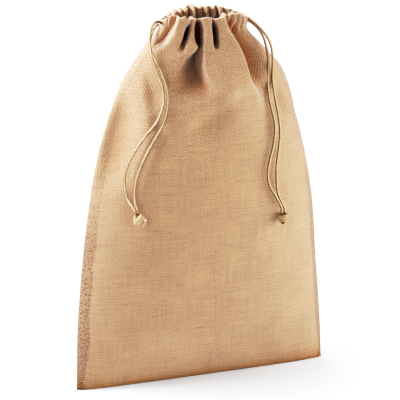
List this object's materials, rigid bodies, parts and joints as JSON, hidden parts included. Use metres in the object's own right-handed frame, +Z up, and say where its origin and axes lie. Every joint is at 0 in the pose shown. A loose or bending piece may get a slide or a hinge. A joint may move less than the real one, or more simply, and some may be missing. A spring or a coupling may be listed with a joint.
{
  "type": "hessian drawstring sack",
  "caption": "Standing hessian sack sewn from a front and a back panel, its neck drawn in by knotted cords at both side seams, open at the top.",
  "frame": {"origin": "on the floor under the middle of the sack", "axes": "+Z up through the neck, +X to the right along the bottom seam as seen from the front, the front panel faces -Y"},
  "size_m": [0.3015, 0.0968, 0.4287],
  "materials": {
    "hessian": "plain-woven natural jute",
    "cord": "round natural cotton cord"
  },
  "bodies": {
    "root": {"front_panel": "hessian", "back_panel": "hessian", "cord_left_outer": "cord", "cord_left_inner": "cord", "cord_right_outer": "cord", "cord_right_inner": "cord", "knot_left": "cord", "knot_right": "cord"}
  },
  "joints": []
}
